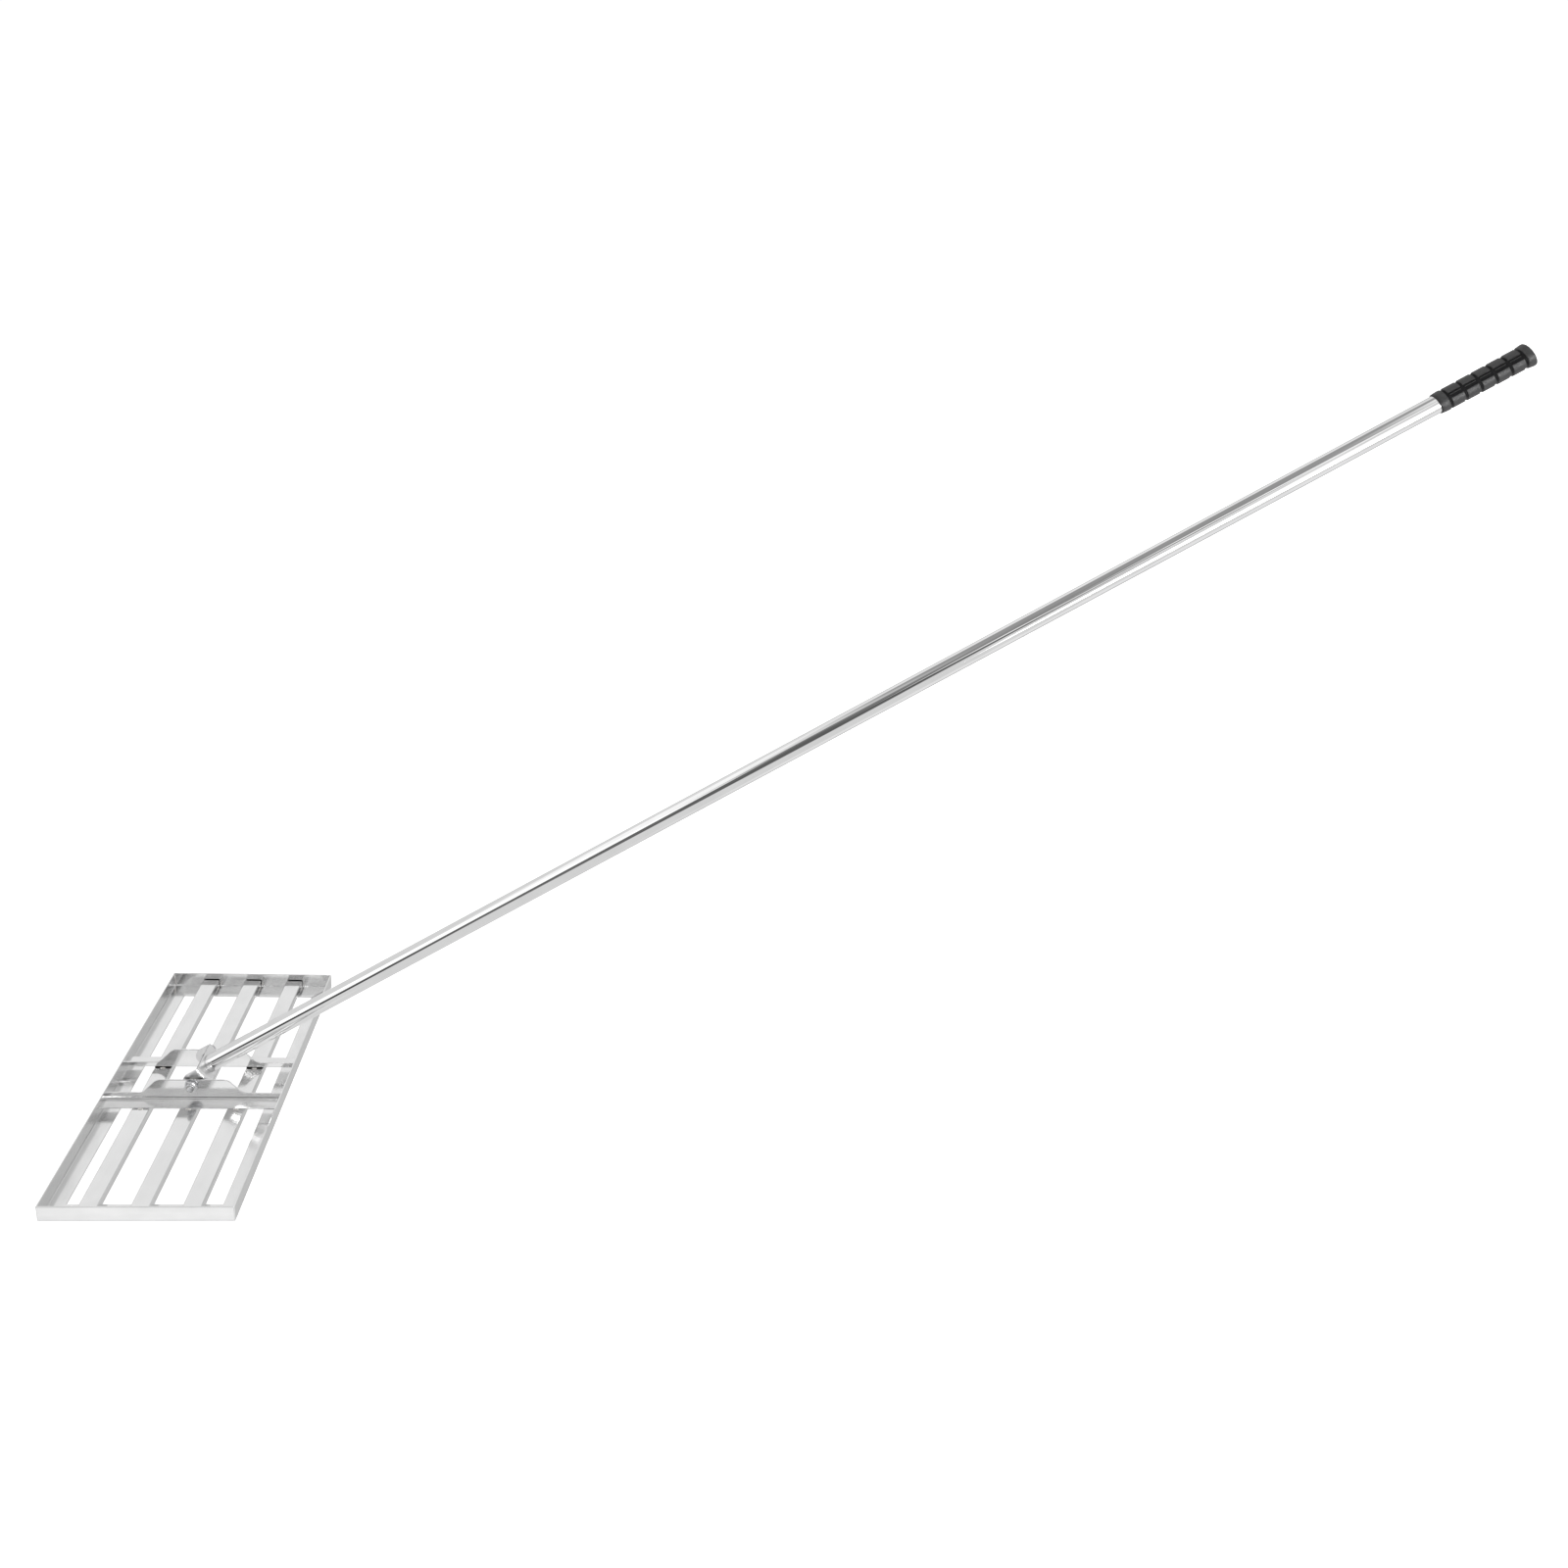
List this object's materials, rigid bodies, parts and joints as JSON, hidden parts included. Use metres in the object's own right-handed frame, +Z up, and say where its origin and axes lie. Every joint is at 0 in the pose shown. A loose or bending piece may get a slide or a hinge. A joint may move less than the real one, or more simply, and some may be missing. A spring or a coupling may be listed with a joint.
{
  "type": "lawn levelling rake",
  "caption": "Stainless-steel lawn levelling rake: low rectangular slatted drag frame with a swivel fork, a long round sectional pole and a rubber grip.",
  "frame": {"origin": "on the ground under the left rail's sole, halfway along the rail and in the upright plane of the pole; the pivot bolt's axis is 110 mm from it along X and 40 mm above it", "axes": "+Z up, +X across the narrow way of the frame towards the side that the pole leans over, Y along the frame's long way and the pivot bolt"},
  "size_m": [1.8844, 0.43, 1.2119],
  "materials": {
    "frame_steel": "polished stainless sheet",
    "pole_steel": "mirror-polished stainless tube",
    "fastener_steel": "bright zinc-plated",
    "spacer_plastic": "moulded nylon",
    "grip_rubber": "moulded rubber with raised pads"
  },
  "bodies": {
    "drag_frame": {"rim_rail_left": "frame_steel", "rim_rail_right": "frame_steel", "rim_end_front": "frame_steel", "rim_end_rear": "frame_steel", "slat_1": "frame_steel", "slat_2": "frame_steel", "slat_3": "frame_steel", "cross_bracket_front": "frame_steel", "cross_bracket_rear": "frame_steel", "pivot_bolt": "fastener_steel", "pivot_washer_front": "fastener_steel", "pivot_washer_rear": "fastener_steel", "pivot_lock_nut": "fastener_steel", "pivot_spacer_front": "spacer_plastic", "pivot_spacer_rear": "spacer_plastic"},
    "handle": {"swivel_fork": "frame_steel", "foot_bolt": "fastener_steel", "foot_washer": "fastener_steel", "pole_foot_plug": "fastener_steel", "pole_section_1": "pole_steel", "pole_section_2": "pole_steel", "pole_section_3": "pole_steel", "pole_section_4": "pole_steel", "pole_section_5": "pole_steel", "joint_stud_1": "fastener_steel", "joint_stud_2": "fastener_steel", "joint_stud_3": "fastener_steel", "joint_stud_4": "fastener_steel", "joint_socket_1": "fastener_steel", "joint_socket_2": "fastener_steel", "joint_socket_3": "fastener_steel", "joint_socket_4": "fastener_steel", "grip": "grip_rubber"}
  },
  "joints": [
    {"name": "handle_tilt", "type": "hinge", "parent": "drag_frame", "child": "handle", "pos_m": [0.11, 0, 0.04], "axis": [0, 1, 0], "range_deg": [-147, 34]}
  ]
}
